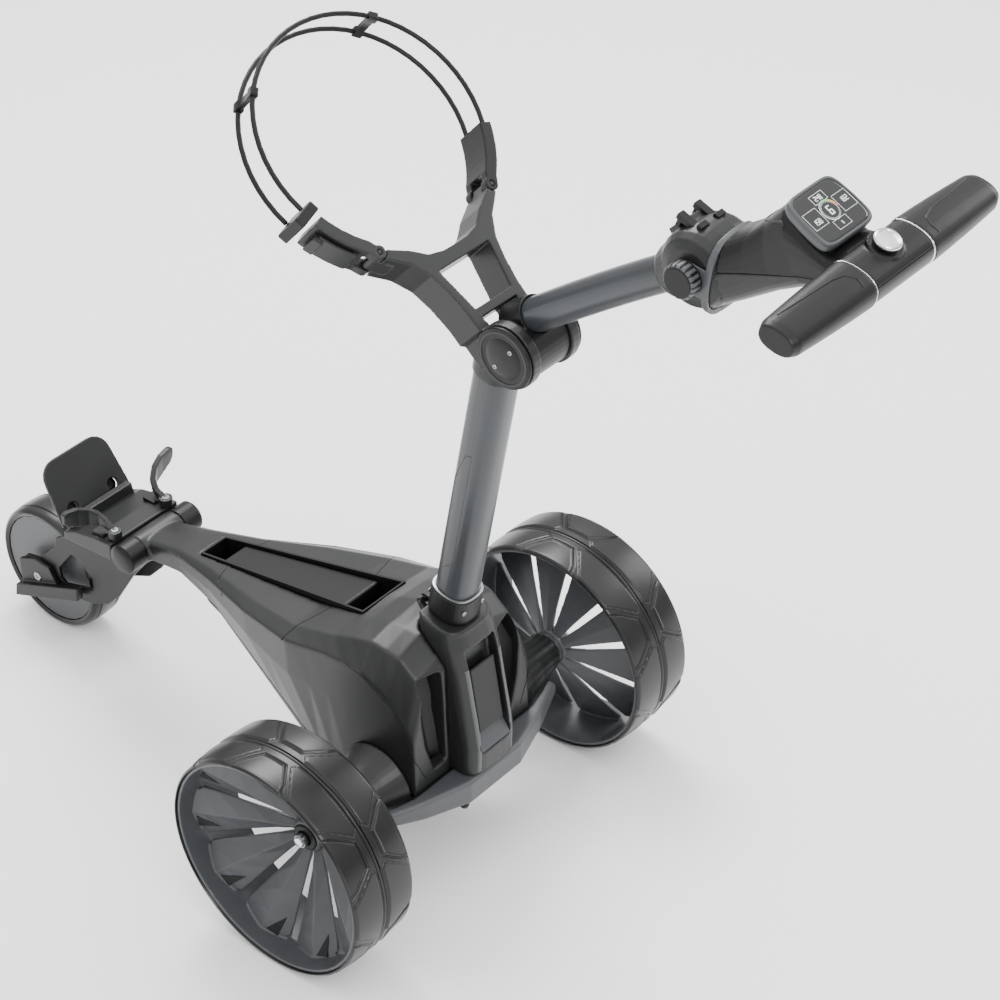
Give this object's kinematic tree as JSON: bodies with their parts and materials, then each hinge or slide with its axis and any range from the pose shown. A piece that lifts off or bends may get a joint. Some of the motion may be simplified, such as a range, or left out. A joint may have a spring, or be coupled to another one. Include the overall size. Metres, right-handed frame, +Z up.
{
  "type": "electric golf trolley",
  "caption": "Three-wheeled powered golf bag trolley with a two-part folding mast, a wire bag ring, a fold-up front wheel and a T-bar handle with a display.",
  "frame": {"origin": "bottom centre of the bounding box: on the ground, on the trolley's middle plane, half way between the front wheel's front and the handle's rear", "axes": "+Z up, +X to the trolley's left, -Y is the way it travels"},
  "size_m": [0.576, 1.3034, 1.033],
  "materials": {
    "body_plastic": "charcoal textured moulding, satin",
    "dark_plastic": "near-black moulding, fine texture",
    "grey_plastic": "mid grey moulding, satin",
    "tube_paint": "gunmetal powder coat, satin",
    "tyre_rubber": "black tread compound, satin",
    "grip_rubber": "soft black grip, matte",
    "steel": "turned steel",
    "silver_trim": "bright satin aluminium",
    "screen_glass": "gloss black display window"
  },
  "bodies": {
    "chassis": {"body_shell": "body_plastic", "rear_tower": "body_plastic", "mast_pin": "steel", "undertray": "dark_plastic", "rear_bumper": "grey_plastic", "battery_tray": "dark_plastic", "gearbox": "steel", "drive_motor": "steel", "controller": "dark_plastic", "axle_housing_left": "body_plastic", "axle_housing_right": "body_plastic", "bearing_left": "steel", "bearing_right": "steel"},
    "battery": {"battery_pack": "dark_plastic"},
    "latch": {"latch_plate": "dark_plastic"},
    "wheel_left": {"tyre_left": "tyre_rubber", "rim_left": "grey_plastic", "axle_left": "steel"},
    "wheel_right": {"tyre_right": "tyre_rubber", "rim_right": "grey_plastic", "axle_right": "steel"},
    "button_left": {"release_button_left": "silver_trim"},
    "button_right": {"release_button_right": "silver_trim"},
    "front_unit": {"fork_bridge": "body_plastic", "fork_plate_left": "dark_plastic", "fork_plate_right": "dark_plastic", "fold_pin": "steel", "front_axle": "steel", "bag_paddle": "body_plastic", "tracking_adjuster": "dark_plastic"},
    "front_wheel": {"front_tyre": "tyre_rubber", "front_rim": "grey_plastic"},
    "arm_left": {"support_arm_left": "body_plastic"},
    "arm_right": {"support_arm_right": "body_plastic"},
    "lower_mast": {"lower_tube": "tube_paint", "mast_collar": "dark_plastic", "bag_bracket": "body_plastic", "hinge_cap_left": "dark_plastic", "hinge_cap_right": "dark_plastic", "hinge_pin": "steel"},
    "lever": {"strap_lever": "body_plastic"},
    "ring": {"ring_end_piece": "dark_plastic", "wire_upper": "dark_plastic", "wire_lower": "dark_plastic", "wire_end_block": "dark_plastic"},
    "upper_mast": {"hinge_socket": "dark_plastic", "upper_tube": "tube_paint", "mast_clamp": "body_plastic"},
    "handle": {"flange_ring": "dark_plastic", "upper_housing": "dark_plastic", "lower_housing": "body_plastic", "display_bezel": "dark_plastic", "display_glass": "screen_glass", "handle_bar": "silver_trim", "grip_left": "grip_rubber", "grip_right": "grip_rubber"},
    "tilt_knob": {"clamp_knob": "dark_plastic"},
    "speed_press": {"knob_stem": "steel"},
    "speed_knob": {"knob_cap": "silver_trim"}
  },
  "joints": [
    {"name": "front_fold", "type": "hinge", "parent": "chassis", "child": "front_unit", "pos_m": [0, -0.37935, 0.21], "axis": [1, 0, 0], "range_deg": [0, 80]},
    {"name": "front_wheel_spin", "type": "hinge", "parent": "front_unit", "child": "front_wheel", "pos_m": [0, -0.56535, 0.0863], "axis": [1, 0, 0], "continuous": true},
    {"name": "rear_left_spin", "type": "hinge", "parent": "chassis", "child": "wheel_left", "pos_m": [0.242, 0.07065, 0.14], "axis": [1, 0, 0], "continuous": true},
    {"name": "rear_right_spin", "type": "hinge", "parent": "chassis", "child": "wheel_right", "pos_m": [-0.242, 0.07065, 0.14], "axis": [1, 0, 0], "continuous": true},
    {"name": "release_left", "type": "slide", "parent": "wheel_left", "child": "button_left", "axis": [-1, 0, 0], "range_m": [0, 0.003], "stiffness_N_per_m": 300},
    {"name": "release_right", "type": "slide", "parent": "wheel_right", "child": "button_right", "axis": [1, 0, 0], "range_m": [0, 0.003], "stiffness_N_per_m": 300},
    {"name": "lower_mast_fold", "type": "hinge", "parent": "chassis", "child": "lower_mast", "pos_m": [0, 0.07065, 0.3465], "axis": [1, 0, 0], "range_deg": [0, 60]},
    {"name": "mid_fold", "type": "hinge", "parent": "lower_mast", "child": "upper_mast", "pos_m": [0, 0.22025, 0.7386], "axis": [-1, 0, 0], "range_deg": [0, 95]},
    {"name": "handle_tilt", "type": "hinge", "parent": "upper_mast", "child": "handle", "pos_m": [0, 0.44095, 0.9185], "axis": [1, 0, 0], "range_deg": [-10, 10]},
    {"name": "clamp_knob_turn", "type": "hinge", "parent": "handle", "child": "tilt_knob", "pos_m": [0, 0.44095, 0.9185], "axis": [1, 0, 0], "range_deg": [0, 170]},
    {"name": "speed_press", "type": "slide", "parent": "handle", "child": "speed_press", "axis": [0, -0.342, -0.9397], "range_m": [0, 0.002], "stiffness_N_per_m": 400},
    {"name": "speed_turn", "type": "hinge", "parent": "speed_press", "child": "speed_knob", "pos_m": [0, 0.62665, 1.003], "axis": [0, 0.342, 0.9397], "continuous": true},
    {"name": "ring_swing", "type": "hinge", "parent": "lower_mast", "child": "ring", "pos_m": [-0.0846, 0.08808, 0.82354], "axis": [0, -0.6769, -0.7361], "range_deg": [0, 60]},
    {"name": "lever_open", "type": "hinge", "parent": "lower_mast", "child": "lever", "pos_m": [0.0846, 0.08808, 0.82354], "axis": [0, 0.6769, 0.7361], "range_deg": [0, 70]},
    {"name": "arm_left_swing", "type": "hinge", "parent": "front_unit", "child": "arm_left", "pos_m": [0.0429, -0.40545, 0.2263], "axis": [0, 0, 1], "range_deg": [0, 40]},
    {"name": "arm_right_swing", "type": "hinge", "parent": "front_unit", "child": "arm_right", "pos_m": [-0.0429, -0.40545, 0.2263], "axis": [0, 0, -1], "range_deg": [0, 40]},
    {"name": "latch_pull", "type": "hinge", "parent": "chassis", "child": "latch", "pos_m": [0, 0.14865, 0.2], "axis": [-1, 0, 0], "range_deg": [0, 8], "stiffness_Nm_per_rad": 1},
    {"name": "battery_lift", "type": "slide", "parent": "chassis", "child": "battery", "axis": [0, 0, 1], "range_m": [0, 0.15]}
  ]
}
